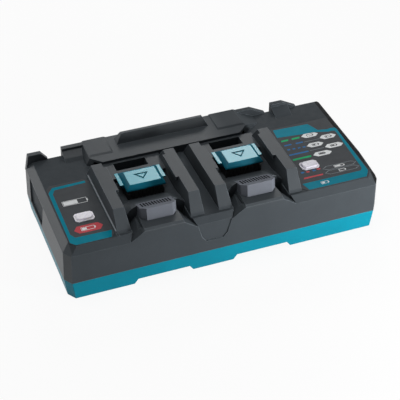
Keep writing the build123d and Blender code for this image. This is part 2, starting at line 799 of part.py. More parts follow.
def upper_housing():
    """Charcoal top moulding."""
    body = housing_body() + plateau()
    body += pad(block_left, block_left + left_pad_length)
    body += pad(block_right - right_pad_length, block_right)
    body += ridge() + rear_lip()
    for x in bay_xs.values():
        body += deck(x) + deck_flare(x) + ramp(x) + rail(x, -1) + rail(x, 1)
    bead_x = bay_xs["left"] - rail_foot_outer
    body += box(bead_x - foot_bead_width, bead_x + foot_bead_width,
                front + front_bevel, front + plateau_setback, panel_underside + overrun,
                panel_height + foot_bead_height)

    body -= housing_cavity()
    body -= box(block_left + wall, block_right - wall, front + plateau_setback + wall,
                rear - lip_thickness - overrun, panel_underside - overrun, plateau_height - wall)
    for x in bay_xs.values():
        body -= bay_cavity(x)
        for side in (-1, 1):
            body -= rail_cavity(x, side)
            body += pocket_shell(x, side)
        body += latch_pocket(x, rail_wall)
    for x in bay_xs.values():
        for side in (-1, 1):
            body -= pocket_void(x, side)
        body -= latch_pocket(x, 0)
        body -= block_outline(x, snug_gap, panel_underside - overrun, panel_height + overrun)
        body -= hood_seat(x) + hood_opening(x)

    for x in case_screw_xs:
        for y in case_screw_ys:
            under_block = block_left < x < block_right and y > 0
            roof = plateau_height - wall if under_block else panel_underside
            body += rod(x, y, seam_height, roof + overrun, boss_radius)
            body -= rod(x, y, seam_height - overrun,
                        case_screw_seat() + case_screw_length + screw_tip_gap,
                        case_screw_radius + thread_clearance)
    for x in lens_xs.values():
        body -= prism(lens_outline(x, snug_gap), panel_underside - overrun, panel_height + overrun)
        for post_x, post_y in light_posts(x):
            body += rod(post_x, post_y, light_board_top, panel_underside + overrun, light_post_radius)
            body -= rod(post_x, post_y, light_board_top - overrun,
                        light_board_top + small_screw_length,
                        small_screw_radius + thread_clearance)
    body += Pos(cord_x, rear - cord_boss_depth / 2, cord_height) * (
        Rot(90, 0, 0) * Cylinder(cord_boss_radius, cord_boss_depth))
    body -= cord_hole()
    body -= rear_vents() + front_inset()
    for side in (-1, 1):
        body -= end_dish(side)
    return body


# --- lower shell ----------------------------------------------------------------------------

def case_screw_seat():
    """Height where a case screw's head bears, inside its boss."""
    return case_screw_recess + case_screw_head_height


def foot_gap(x0, x1, y0, y1, height):
    """Room under the tray between two feet, with sloped ends along X."""
    outline = [(x0, -overrun), (x0, 0), (x0 + foot_slope, height), (x1 - foot_slope, height),
               (x1, 0), (x1, -overrun)]
    return profile_along_y(outline, y0, y1)


def air_grille(x):
    """Slots in the tray floor under a fan."""
    start = x - (grille_slots - 1) * grille_pitch / 2
    middle = front + fan_setback
    slots = [box(start + i * grille_pitch - grille_slot_width / 2,
                 start + i * grille_pitch + grille_slot_width / 2,
                 middle - grille_slot_length / 2, middle + grille_slot_length / 2,
                 foot_height - overrun, tray_floor + overrun)
             for i in range(grille_slots)]
    return sum(slots, start=Part())


def board_posts():
    """Middles of the posts under the main board."""
    xs = (-(board_half - board_post_inset), board_half - board_post_inset)
    ys = (board_front + board_post_inset, board_rear - board_post_inset)
    return [(x, y) for x in xs for y in ys]


def lower_shell():
    """Teal base tray with its moulded feet."""
    body = frustum(case_outline(base_draft, base_front_draft), 0,
                   case_outline(0, 0), seam_height)
    body -= frustum(case_outline(base_draft + wall, base_front_draft + wall), tray_floor,
                    case_outline(wall, wall), seam_height + overrun)
    rim_out = wall + snug_gap
    rim = prism(case_outline(rim_out, rim_out), seam_height - seam_rim_height,
                seam_height + seam_rim_height)
    rim_in = rim_out + seam_rim_wall
    rim -= prism(case_outline(rim_in, rim_in), seam_height - seam_rim_height - overrun,
                 seam_height + seam_rim_height + overrun)
    body += rim
    ledge_low = seam_height - 2 * seam_rim_height
    ledge = prism(case_outline(wall / 2, wall / 2), ledge_low, seam_height)
    ledge -= prism(case_outline(rim_in, rim_in), ledge_low - overrun, seam_height + overrun)
    body += ledge

    middle_foot_start = bays_offset + middle_foot_offset - middle_foot_length / 2
    middle_foot_end = middle_foot_start + middle_foot_length
    body -= foot_gap(-length / 2 + left_foot_length, middle_foot_start, front - overrun, rear + overrun,
                     foot_height)
    body -= foot_gap(middle_foot_end, length / 2 - right_foot_length, front - overrun, rear + overrun,
                     foot_height)
    between_feet = (front + front_foot_depth, rear - rear_foot_depth)
    body -= foot_gap(-length / 2 + end_skirt, length / 2 - end_skirt, *between_feet, foot_height)
    body -= box(-length / 2 - overrun, length / 2 + overrun, *between_feet, -overrun,
                end_skirt_lift)

    for x in bay_xs.values():
        body -= air_grille(x)
    for x, y in board_posts():
        body += rod(x, y, tray_floor - overrun, board_bottom, board_post_radius)
        body -= rod(x, y, board_top - small_screw_length, board_bottom + overrun,
                    small_screw_radius + thread_clearance)
    for x in case_screw_xs:
        for y in case_screw_ys:
            body += rod(x, y, case_screw_seat(), seam_height, boss_radius)
            body -= rod(x, y, -overrun, case_screw_seat(), case_screw_head + snug_gap)
            body -= rod(x, y, -overrun, seam_height + overrun, case_screw_radius + thread_clearance)
    return body


# --- terminal cover, block, blades and spring ----------------------------------------------------

def block_outline(x, grow, z0, z1):
    """The terminal block's upright body between two heights."""
    return box(x - block_half_width - grow, x + block_half_width + grow,
               front + block_setback - grow, front + block_setback + block_length + grow, z0, z1)


def blades(x):
    """Two wide power blades and a row of narrow signal blades."""
    y0 = front + blade_setback
    low = block_foot - blade_tail
    high = block_top + blade_height
    power = [box(x + side * power_blade_offset - blade_thickness / 2,
                 x + side * power_blade_offset + blade_thickness / 2,
                 y0, y0 + blade_length, low, high) for side in (-1, 1)]
    signal = [box(x + side * (signal_blade_offset + i * signal_blade_pitch) - blade_thickness / 2,
                  x + side * (signal_blade_offset + i * signal_blade_pitch) + blade_thickness / 2,
                  y0 + blade_length - signal_blade_length, y0 + blade_length, low, high)
              for side in (-1, 1) for i in range(2)]
    return power + signal


def cover_groove(x, side):
    """Groove along a side of the block for the cover's hooks."""
    top = block_top - cover_hook_thickness
    x0, x1 = sorted((x + side * (block_half_width - cover_hook_reach),
                     x + side * (block_half_width + overrun)))
    y0 = front + block_setback - overrun
    return box(x0, x1, y0, y0 + block_length + 2 * overrun, top - cover_groove_height, top)


def terminal_block(x):
    """Black carrier that holds the blades and stands through the housing."""
    body = block_outline(x, 0, block_foot, block_top)
    flange = block_outline(x, block_flange, panel_underside - block_flange, panel_underside)
    for side in (-1, 1):
        body -= cover_groove(x, side)
    start = x - (block_ribs - 1) * block_rib_pitch / 2
    for i in range(block_ribs):
        groove_x = start + i * block_rib_pitch
        body -= box(groove_x - block_rib_width / 2, groove_x + block_rib_width / 2,
                    front + block_setback - overrun, front + block_setback + block_rib_depth,
                    panel_height + overrun, block_top - cover_groove_height)
    post = box(x - post_half_width, x + post_half_width, front + post_setback,
               front + post_setback + post_thickness, block_top - overrun, block_top + post_height)
    body = body + flange + post
    for blade in blades(x):
        body -= blade
    return body


def arrow(x, y, z):
    """Raised outline arrow that points to the front."""
    half = arrow_width / 2
    outer = [(x - half, y + arrow_length / 2), (x, y - arrow_length / 2),
             (x + half, y + arrow_length / 2)]
    inner_half = half - 2 * arrow_line
    inner = [(x - inner_half, y + arrow_length / 2 - arrow_line),
             (x, y - arrow_length / 2 + arrow_tip_line),
             (x + inner_half, y + arrow_length / 2 - arrow_line)]
    return prism(outer, z - arrow_height, z + arrow_height) - prism(inner, z - overrun, z + overrun)


def terminal_cover(x):
    """Teal sliding cover, hooked into the block's side grooves and slotted for the blades."""
    y0 = front + cover_setback
    y1 = y0 + cover_length
    low = block_top + running_gap
    shoulder = low + cover_rim
    top = low + cover_height
    top_y0, top_y1 = y0 + cover_slope_front, y1 - cover_slope_rear
    top_half = cover_half_width - cover_slope_x
    body = box(x - cover_half_width, x + cover_half_width, y0, y1, low, shoulder)
    body += frustum(rectangle(x - cover_half_width, x + cover_half_width, y0, y1), shoulder,
                    rectangle(x - top_half, x + top_half, top_y0, top_y1), top)
    wing = cover_half_width + cover_wing_reach
    body += box(x - wing, x + wing, y0 + cover_wing_start, y1, low, shoulder)

    inner_half = top_half - cover_wall / 2
    inner_top = top - cover_roof
    body -= box(x - inner_half, x + inner_half, y0 + cover_wall + overrun, top_y1,
                low - overrun, inner_top)
    rib_y = front + post_setback + post_thickness + spring_length
    body += box(x - post_half_width, x + post_half_width, rib_y, rib_y + post_thickness,
                low, inner_top + overrun)
    for blade in blades(x):
        size = blade.bounding_box()
        body -= box(size.min.X - running_gap, size.max.X + running_gap,
                    top_y1 - overrun, y1 + overrun, low - overrun,
                    block_top + blade_height + running_gap)

    groove_top = block_top - cover_hook_thickness
    hook_low = groove_top - cover_groove_height + running_gap
    for side in (-1, 1):
        web = sorted((x + side * (block_half_width + running_gap),
                      x + side * (block_half_width + running_gap + cover_wall)))
        hook = sorted((x + side * (block_half_width - cover_hook_reach + running_gap),
                       x + side * (block_half_width + running_gap + cover_wall)))
        hook_y0 = y0 + cover_wing_start
        body += box(*web, hook_y0, y1, hook_low, shoulder)
        body += box(*hook, hook_y0, y1, hook_low, groove_top - running_gap)
    body += arrow(x, (top_y0 + top_y1) / 2, top)
    return body


def cover_spring(x):
    """Compression spring between the block's post and the cover's rib, along Y."""
    pitch = (spring_length - 2 * spring_wire) / spring_turns
    helix = Helix(pitch=pitch, height=spring_length - 2 * spring_wire,
                  radius=spring_radius - spring_wire)
    start = Plane(origin=helix @ 0, z_dir=helix % 0)
    coil = sweep(start * Circle(spring_wire), path=helix, is_frenet=True)
    middle_z = block_top + running_gap + spring_radius
    start_y = front + post_setback + post_thickness + spring_wire
    return Pos(x, start_y, middle_z) * Rot(-90, 0, 0) * coil


# --- air outlet, duct and fan ------------------------------------------------------------------

def hood_outline(x, inset, front_shift):
    """Plan of the air outlet: a box with its two front corners cut."""
    half = hood_half_width - inset
    y0 = front + hood_setback + inset + front_shift
    y1 = front + hood_end - inset
    return [(x - half, y1), (x - half, y0 + hood_corner_y), (x - half + hood_corner_x, y0),
            (x + half - hood_corner_x, y0), (x + half, y0 + hood_corner_y), (x + half, y1)]


def hood_seat(x):
    """Recess in the ramp's front end that takes the rear of the air outlet."""
    half = hood_half_width + snug_gap
    return box(x - half, x + half, front + ramp_setback - overrun, front + hood_end + snug_gap,
               deck_height, rail_height + overrun)


def hood_opening(x):
    """Hole in the deck under the air outlet."""
    inner = duct_top_half_width - duct_wall
    y0 = front + duct_top_setback + duct_wall
    y1 = front + duct_top_setback + duct_top_length - duct_wall
    return box(x - inner, x + inner, y0, y1, deck_underside - overrun, deck_height + overrun)


def above_hood(x, drop):
    """Everything above the air outlet's sloped top, lowered by a thickness."""
    y0 = front + hood_setback + hood_front_lean
    high = deck_height + hood_rise - drop
    rear_y = front + hood_end
    low = panel_height + ramp_rise - ramp_slope * (hood_end - ramp_setback) - drop
    slope = (high - low) / (rear_y - y0)
    margin = hood_front_lean + overrun
    return profile_along_x(
        [(y0 - margin, high + slope * margin), (rear_y + margin, low - slope * margin),
         (rear_y + margin, high + hood_rise), (y0 - margin, high + hood_rise)],
        x - hood_half_width - overrun, x + hood_half_width + overrun)


def air_outlet(x):
    """Hood that leads cooling air up into the pack through a comb of slots."""
    top = deck_height + hood_rise + overrun
    lean = hood_front_lean * (top - deck_height) / hood_rise
    body = frustum(hood_outline(x, 0, 0), deck_height, hood_outline(x, 0, lean), top)
    body -= above_hood(x, 0)
    inner = frustum(hood_outline(x, hood_wall, 0), deck_height - overrun,
                    hood_outline(x, hood_wall, lean), top)
    body -= inner - above_hood(x, hood_roof)
    start = x - (comb_slots - 1) * comb_pitch / 2
    y0 = front + comb_setback
    for i in range(comb_slots):
        slot_x = start + i * comb_pitch
        body -= box(slot_x - comb_slot_width / 2, slot_x + comb_slot_width / 2,
                    y0, y0 + comb_slot_length, deck_height + hood_wall, top)
    return body


def air_duct(x):
    """Duct from the fan up to the deck."""
    half = fan_size / 2
    fan_y = front + fan_setback
    neck = deck_underside - duct_neck_drop
    y0 = front + duct_top_setback
    y1 = y0 + duct_top_length

    def shape(inset, past):
        foot = rectangle(x - half + inset, x + half - inset, fan_y - half + inset,
                         fan_y + half - inset)
        top = rectangle(x - duct_top_half_width + inset, x + duct_top_half_width - inset,
                        y0 + inset, y1 - inset)
        body = frustum(foot, fan_top, top, neck) + prism(top, neck, deck_underside + past)
        if past:
            body += prism(foot, fan_top - past, fan_top)
        return body

    return shape(0, 0) - shape(duct_wall, overrun)


def fan_screw_points(x):
    """Middles of the four fan screws."""
    y = front + fan_setback
    return [(x + dx * fan_screw_offset, y + dy * fan_screw_offset)
            for dx in (-1, 1) for dy in (-1, 1)]


def fan_frame(x):
    """Square fan frame with a fixed centre shaft on four spokes."""
    y = front + fan_setback
    half = fan_size / 2
    body = prism(cut_corners(x - half, x + half, y - half, y + half, fan_corner, fan_corner),
                 fan_bottom, fan_top)
    body -= rod(x, y, fan_bottom - overrun, fan_top + overrun, fan_bore)
    spoke_top = fan_bottom + fan_spoke_height
    for angle in (45, 135):
        body += Pos(x, y, 0) * Rot(0, 0, angle) * box(
            -fan_bore - overrun, fan_bore + overrun, -fan_spoke_width / 2, fan_spoke_width / 2,
            fan_bottom, spoke_top)
    body += rod(x, y, fan_bottom, spoke_top, fan_post_flare)
    body += rod(x, y, spoke_top, fan_top - fan_post_drop, fan_post_radius)
    for px, py in fan_screw_points(x):
        body -= rod(px, py, fan_bottom - overrun, fan_top + overrun,
                    small_screw_radius + thread_clearance)
    return body


def fan_rotor(x):
    """Hub with pitched blades that turns on the frame's shaft."""
    y = front + fan_setback
    low = fan_bottom + fan_spoke_height + fan_end_float
    body = rod(0, 0, low, low + fan_hub_height, fan_hub_radius)
    middle = low + fan_hub_height / 2
    for i in range(fan_blades):
        reach = fan_blade_reach - fan_hub_radius + overrun
        blade = Box(reach, fan_blade_chord, fan_blade_thickness)
        blade_x = fan_hub_radius - overrun + reach / 2
        blade = Pos(blade_x, 0, middle) * Rot(fan_blade_angle, 0, 0) * blade
        body += Rot(0, 0, i * 360 / fan_blades) * blade
    body &= rod(0, 0, low, low + fan_hub_height, fan_blade_reach)
    body -= rod(0, 0, low - overrun, low + fan_hub_height + overrun,
                fan_post_radius + fan_bearing_clearance)
    return Pos(x, y, 0) * body


# --- labels, lenses and light boards ---------------------------------------------------------------

def label(side):
    """Thin label plate with a hole for the lens; its outer edge follows the panel's bevel."""
    edge = panel_outline(label_margin)
    y0 = edge[0][1]
    if side == "left":
        x0 = edge[7][0]
        x1 = left_panel_end - label_rail_gap
        plate = prism(cut_corners(x0, x1, y0, y0 + left_label_length, label_corner, label_corner),
                      panel_height, panel_height + label_thickness)
    else:
        x0 = bay_xs["right"] + rail_foot_outer + label_rail_gap
        y1 = min(y0 + right_label_length, rear - lip_thickness - lip_ramp_depth - label_margin)
        (front_x, front_y), (rear_x, rear_y) = edge[2:4]
        x1 = front_x + (rear_x - front_x) * (y1 - label_corner - front_y) / (rear_y - front_y)
        outline = [(x0 + label_corner, y0), edge[1], edge[2], (x1, y1 - label_corner),
                   (x1 - label_corner, y1), (x0 + label_corner, y1), (x0, y1 - label_corner),
                   (x0, y0 + label_corner)]
        plate = prism(outline, panel_height, panel_height + label_thickness)
        ramp_foot = block_right + plateau_right_ramp + label_rail_gap
        ramp_front = front + plateau_setback - label_rail_gap
        plate -= box(x0 - overrun, ramp_foot, ramp_front, y1 + overrun, panel_height - overrun,
                     panel_height + overrun)
    return plate - prism(lens_outline(lens_xs[side], snug_gap), panel_height - overrun,
                         panel_height + overrun)


def indicator_lens(x):
    """Pale lens that stands through the panel, with a flange behind it."""
    edge = panel_height + lens_stand
    body = prism(lens_outline(x, 0), panel_underside, edge)
    body += frustum(lens_outline(x, -lens_crown_inset), edge,
                    lens_outline(x, -lens_crown_inset - lens_crown_slope), edge + lens_crown)
    flange = prism(lens_outline(x, lens_flange), panel_underside - lens_flange_thickness,
                   panel_underside)
    return body + flange


def light_board(x):
    """Small board under a lens."""
    y = front + lens_setback
    body = box(x - light_board_length / 2, x + light_board_length / 2,
               y - light_board_width / 2, y + light_board_width / 2,
               light_board_top - board_thickness, light_board_top)
    for px, py in light_posts(x):
        body -= rod(px, py, light_board_top - board_thickness - overrun, light_board_top + overrun,
                    small_screw_radius + thread_clearance)
    return body


def light_emitters():
    """Three light emitters on each light board."""
    y = front + lens_setback
    return [rod(x + i * led_pitch, y, light_board_top, light_board_top + led_height, led_radius)
            for x in lens_xs.values() for i in (-1, 0, 1)]


# --- main board and what stands on it ----------------------------------------------------------------

def main_board():
    """Main circuit board."""
    body = box(-board_half, board_half, board_front, board_rear, board_bottom, board_top)
    for x, y in board_posts():
        body -= rod(x, y, board_bottom - overrun, board_top + overrun,
                    small_screw_radius + thread_clearance)
    return body


def transformer_core():
    """Two-window ferrite core."""
    half = transformer_width / 2
    top = board_top + transformer_height
    y0 = board_middle_y - transformer_thickness / 2
    y1 = board_middle_y + transformer_thickness / 2
    body = box(transformer_x - half, transformer_x + half, y0, y1, board_top, top)
    for side in (-1, 1):
        inner = transformer_x + side * transformer_leg / 2
        outer = transformer_x + side * (half - transformer_yoke)
        body -= box(min(inner, outer), max(inner, outer), y0 - overrun, y1 + overrun,
                    board_top + transformer_yoke, top - transformer_yoke)
    return body


def transformer_winding():
    """Coil round the core's middle leg."""
    leg_x = transformer_leg / 2
    leg_y = transformer_thickness / 2
    z0 = board_top + transformer_yoke
    z1 = board_top + transformer_height - transformer_yoke
    build = min(winding_build, transformer_width / 2 - transformer_yoke - leg_x - winding_gap)
    body = box(transformer_x - leg_x - build, transformer_x + leg_x + build,
               board_middle_y - leg_y - build, board_middle_y + leg_y + build, z0, z1)
    return body - box(transformer_x - leg_x, transformer_x + leg_x,
                      board_middle_y - leg_y, board_middle_y + leg_y, z0 - overrun, z1 + overrun)


def bulk_capacitors():
    """Two upright capacitors."""
    return [rod(capacitor_x, board_middle_y + side * capacitor_pitch / 2, board_top,
                board_top + capacitor_height, capacitor_radius) for side in (-1, 1)]


def film_capacitor():
    """Boxed film capacitor at the mains side."""
    size_x, size_y, size_z = film_capacitor_size
    y1 = board_rear - board_post_inset - board_post_radius - film_capacitor_gap
    return box(filter_x - size_x / 2, filter_x + size_x / 2, y1 - size_y, y1,
               board_top, board_top + size_z)


def choke_place():
    """Middle of the line choke."""
    rise = choke_core_radius + choke_winding_build
    return Pos(filter_x, board_middle_y - capacitor_pitch / 2, board_top + rise)


def choke_core():
    """Ring core of the line choke."""
    return choke_place() * Torus(choke_radius, choke_core_radius)


def choke_winding():
    """Two half windings on the ring core."""
    outer = choke_core_radius + choke_winding_build
    body = Torus(choke_radius, outer) - Torus(choke_radius, choke_core_radius)
    body -= Box(choke_gap, 4 * choke_radius, 4 * outer)
    return choke_place() * body


def fuse_middle():
    """Middle of the fuse, above the board."""
    return fuse_x, board_front + fuse_setback, board_top + clip_height - fuse_radius


def fuse():
    """Glass fuse that lies along X in two clips."""
    x, y, z = fuse_middle()
    return Pos(x, y, z) * Rot(0, 90, 0) * Cylinder(fuse_radius, fuse_length)


def fuse_clips():
    """Clips that hold the ends of the fuse."""
    x, y, z = fuse_middle()
    clips = []
    for side in (-1, 1):
        middle = x + side * (fuse_length / 2 - clip_width / 2)
        clip = box(middle - clip_width / 2, middle + clip_width / 2,
                   y - fuse_radius - clip_wall, y + fuse_radius + clip_wall,
                   board_top, z + fuse_radius / 2)
        clips.append(clip - fuse())
    return clips


def heat_sink(x):
    """Finned extrusion along Y."""
    y0 = board_middle_y - heat_sink_length / 2
    body = box(x - heat_sink_width / 2, x - heat_sink_width / 2 + heat_sink_base,
               y0, y0 + heat_sink_length, board_top, board_top + heat_sink_height)
    pitch = (heat_sink_height - heat_sink_fin) / (heat_sink_fins - 1)
    for i in range(heat_sink_fins):
        z0 = board_top + i * pitch
        body += box(x - heat_sink_width / 2 + heat_sink_base - overrun, x + heat_sink_width / 2,
                    y0, y0 + heat_sink_length, z0, z0 + heat_sink_fin)
    return body


def power_transistors():
    """Power devices clamped flat against the back of each heat sink."""
    size_x, size_y, size_z = transistor_size
    devices = []
    for sink_x in heat_sink_xs:
        x1 = sink_x - heat_sink_width / 2
        for side in (-1, 1):
            y = board_middle_y + side * transistor_pitch / 2
            devices.append(box(x1 - size_x, x1, y - size_y / 2, y + size_y / 2, board_top,
                               board_top + size_z))
    return devices


def battery_leads(x):
    """Heavy leads from the power blades down to the board."""
    y = front + blade_setback + blade_length / 2
    high = block_foot - blade_tail
    return [rod(x + side * power_blade_offset, y, board_top, high, lead_radius)
            for side in (-1, 1)]


def cord_bush():
    """Flanged bush that lines the cord's hole in the rear wall."""
    body_radius = cord_bush_radius - thread_clearance
    flange_radius = cord_flange_radius - thread_clearance
    body = Pos(0, 0, -cord_boss_depth / 2) * Cylinder(body_radius, cord_boss_depth)
    body += Pos(0, 0, -cord_flange_thickness / 2) * Cylinder(flange_radius,
                                                            cord_flange_thickness)
    body -= Cylinder(cord_bore_radius, 3 * cord_boss_depth)
    return Pos(cord_x, rear, cord_height) * Rot(-90, 0, 0) * body


def case_screws():
    """Long screws from below, through the tray into the housing."""
    return [screw(x, y, case_screw_seat(), 1, case_screw_radius, case_screw_length,
                  case_screw_head, case_screw_head_height)
            for x in case_screw_xs for y in case_screw_ys]


def small_screws(points, seat, direction, screw_length):
    """Short screws at the given points."""
    return [screw(x, y, seat, direction, small_screw_radius, screw_length,
                  small_screw_head, small_screw_head_height) for x, y in points]


os.makedirs("parts", exist_ok=True)
save("upper_housing", upper_housing())
save("lower_shell", lower_shell())
for name, x in bay_xs.items():
    save("terminal_block_" + name, terminal_block(x))
    save("terminal_blades_" + name, group(blades(x)))
    save("terminal_cover_" + name, terminal_cover(x))
    save("cover_spring_" + name, cover_spring(x))
    save("air_outlet_" + name, air_outlet(x))
    save("air_duct_" + name, air_duct(x))
    save("fan_frame_" + name, fan_frame(x))
    save("fan_rotor_" + name, fan_rotor(x))
    save("battery_leads_" + name, group(battery_leads(x)))
for name, x in lens_xs.items():
    save("label_" + name, label(name))
    save("indicator_lens_" + name, indicator_lens(x))
    save("light_board_" + name, light_board(x))
save("status_leds", group(light_emitters()))
save("main_circuit_board", main_board())
save("transformer_core", transformer_core())
save("transformer_winding", transformer_winding())
save("bulk_capacitors", group(bulk_capacitors()))
save("film_capacitor", film_capacitor())
save("line_choke_core", choke_core())
save("line_choke_winding", choke_winding())
save("mains_fuse", fuse())
save("fuse_clips", group(fuse_clips()))
save("heat_sinks", group([heat_sink(x) for x in heat_sink_xs]))
save("power_transistors", group(power_transistors()))
save("buzzer", rod(buzzer_x, board_front + buzzer_setback, board_top,
                   board_top + buzzer_height, buzzer_radius))
save("cord_inlet_bush", cord_bush())
save("case_screws", group(case_screws()))
save("board_screws", group(small_screws(board_posts(), board_top, -1,
                                        small_screw_length - screw_tip_gap)))
save("light_board_screws", group(small_screws(
    [point for x in lens_xs.values() for point in light_posts(x)],
    light_board_top - board_thickness, 1, small_screw_length)))
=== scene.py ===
"""Two-bay battery charger: materials, return springs, label prints, stage, light and camera.

Metres, +Z up, the front faces -Y. The label prints are measured in millimetres.
"""
import math

import bpy
from mathutils import Matrix, Vector

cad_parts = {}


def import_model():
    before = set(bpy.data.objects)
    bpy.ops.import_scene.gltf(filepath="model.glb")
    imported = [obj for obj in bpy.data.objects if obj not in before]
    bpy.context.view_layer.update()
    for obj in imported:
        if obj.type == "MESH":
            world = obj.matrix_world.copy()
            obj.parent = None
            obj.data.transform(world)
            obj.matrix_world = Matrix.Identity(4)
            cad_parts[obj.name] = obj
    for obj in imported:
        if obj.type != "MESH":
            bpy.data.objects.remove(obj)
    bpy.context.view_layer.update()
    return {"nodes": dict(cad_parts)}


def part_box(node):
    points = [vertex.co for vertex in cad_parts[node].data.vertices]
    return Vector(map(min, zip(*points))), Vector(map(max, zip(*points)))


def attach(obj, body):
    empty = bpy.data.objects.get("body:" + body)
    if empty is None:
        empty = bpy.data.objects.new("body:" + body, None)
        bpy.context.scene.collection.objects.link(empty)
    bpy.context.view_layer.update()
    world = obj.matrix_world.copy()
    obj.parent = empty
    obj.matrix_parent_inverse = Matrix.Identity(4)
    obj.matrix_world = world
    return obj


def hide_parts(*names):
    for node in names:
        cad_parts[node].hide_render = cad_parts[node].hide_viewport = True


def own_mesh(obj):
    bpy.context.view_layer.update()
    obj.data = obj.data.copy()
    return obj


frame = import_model()


def mm(*values):
    """Millimetres to metres."""
    return tuple(value / 1000 for value in values)


def tone(code, factor=1.0):
    """A six-digit sRGB code as linear colour, made darker or lighter by a factor."""
    channels = [int(code[i:i + 2], 16) / 255 for i in (0, 2, 4)]
    linear = [value / 12.92 if value <= 0.04045 else ((value + 0.055) / 1.055) ** 2.4
              for value in channels]
    return (*(value * factor for value in linear), 1.0)


# --- node trees -------------------------------------------------------------------------

NOISE_RANGE = (0.3, 0.7)        # most values of a noise lie in here
UNIT_RANGE = (0.0, 1.0)
EDGE_TURN = (0.86, 0.995)       # cosine of the turn at an edge: fully an edge, and no longer one


class Graph:
    """A node tree, with short calls that add to it."""

    def __init__(self, tree):
        self.tree = tree

    def put(self, socket, value):
        """Give a socket a constant or another node's output."""
        if isinstance(value, bpy.types.NodeSocket):
            self.tree.links.new(value, socket)
        else:
            socket.default_value = value

    def node(self, kind, inputs=None, **settings):
        """Add a node with its settings; inputs are constants or other nodes' outputs."""
        made = self.tree.nodes.new(kind)
        for key, value in settings.items():
            setattr(made, key, value)
        for key, value in (inputs or {}).items():
            self.put(made.inputs[key], value)
        return made

    def seen_directly(self):
        """1 for a ray from the camera or one mirrored or let through by a surface, else 0."""
        rays = self.node("ShaderNodeLightPath").outputs
        seen = rays["Is Camera Ray"]
        for name in ("Is Glossy Ray", "Is Transmission Ray"):
            inputs = {0: seen, 1: rays[name]}
            added = self.node("ShaderNodeMath", inputs, operation="ADD", use_clamp=True)
            seen = added.outputs["Value"]
        return seen

    def mix_shaders(self, share, first, second):
        """Two shaders mixed; the share is that of the second."""
        inputs = {"Fac": share, 1: first, 2: second}
        return self.node("ShaderNodeMixShader", inputs).outputs["Shader"]


class Shader(Graph):
    """A material's nodes; a finished material can be opened again to add to it."""

    def __init__(self, material):
        super().__init__(material.node_tree)
        self.material = material
        self.surface = self.tree.nodes["Principled BSDF"]
        coordinates = self.node("ShaderNodeTexCoord").outputs
        self.place = coordinates["Object"]          # where the surface lies at rest, in metres
        self.share = coordinates["Generated"]       # the same as shares of the piece's own box
        self.facing = coordinates["Normal"]         # which way the surface faces

    def coat(self, values):
        """Give inputs of the surface their values, by name; returns the material."""
        for name, value in values.items():
            self.put(self.surface.inputs[name], value)
        return self.material

    def noise(self, scale, detail=2.0, stretch=None):
        """Noise over the object, per metre; stretch scales the three axes."""
        place = self.place
        if stretch:
            mapping = self.node("ShaderNodeMapping", {"Scale": stretch, "Vector": place})
            place = mapping.outputs["Vector"]
        inputs = {"Scale": scale, "Detail": detail, "Vector": place}
        return self.node("ShaderNodeTexNoise", inputs).outputs["Fac"]

    def spread(self, value, low, high, source=NOISE_RANGE):
        """A value mapped from its own range to low and high, and held between them."""
        inputs = {"Value": value, "From Min": source[0], "From Max": source[1],
                  "To Min": low, "To Max": high}
        return self.node("ShaderNodeMapRange", inputs).outputs["Result"]

    def blend(self, mask, first, second, kind="RGBA"):
        """Two colours, or two numbers of kind FLOAT: the first where the mask is 0."""
        inputs = {"Factor": mask, "A": first, "B": second}
        return self.node("ShaderNodeMix", inputs, data_type=kind).outputs["Result"]

    def mottled(self, code, darker, lighter, scale, detail):
        """A colour that wanders between two shades of it."""
        patches = self.spread(self.noise(scale, detail), *UNIT_RANGE)
        return self.blend(patches, tone(code, darker), tone(code, lighter))

    def product(self, *masks):
        """1 only where every mask is 1."""
        result = masks[0]
        for mask in masks[1:]:
            made = self.node("ShaderNodeMath", {0: result, 1: mask}, operation="MULTIPLY")
            result = made.outputs["Value"]
        return result

    def region(self, vector, limits):
        """1 where a vector keeps to all the limits, each made by after or before."""
        masks = []
        for axis, nothing, full in limits:
            split = self.node("ShaderNodeSeparateXYZ", {"Vector": vector})
            masks.append(self.spread(split.outputs[axis], *UNIT_RANGE, source=(nothing, full)))
        return self.product(*masks)

    def change(self, name, mask, value, kind):
        """Another value for an input of the surface where the mask is 1."""
        socket = self.surface.inputs[name]
        present = socket.links[0].from_socket if socket.is_linked else socket.default_value
        self.put(socket, self.blend(mask, present, value, kind))

    def repaint(self, mask, code):
        """Another colour where the mask is 1."""
        self.change("Base Color", mask, tone(code), "RGBA")

    def polish(self, mask, roughness, level):
        """Another roughness and reflectance where the mask is 1."""
        self.change("Roughness", mask, roughness, "FLOAT")
        self.change("Specular IOR Level", mask, level, "FLOAT")

    def soft_normal(self, radius):
        """Normal with the edges rounded off."""
        return self.node("ShaderNodeBevel", {"Radius": radius}, samples=8).outputs["Normal"]

    def edges(self, radius):
        """1 along convex and concave edges, 0 on the flats."""
        flat = self.node("ShaderNodeNewGeometry").outputs["Normal"]
        normals = {0: self.soft_normal(radius), 1: flat}
        turn = self.node("ShaderNodeVectorMath", normals, operation="DOT_PRODUCT")
        return self.spread(turn.outputs["Value"], 1.0, 0.0, source=EDGE_TURN)

    def bump(self, height, distance, normal=None):
        """Relief of a height, in metres, on a normal of its own if one is given."""
        inputs = {"Height": height, "Distance": distance}
        if normal:
            inputs["Normal"] = normal
        return self.node("ShaderNodeBump", inputs).outputs["Normal"]


def new_shader(name):
    """The Shader of a new material."""
    material = bpy.data.materials.new(name)
    material.use_nodes = True
    return Shader(material)


# --- materials --------------------------------------------------------------------------

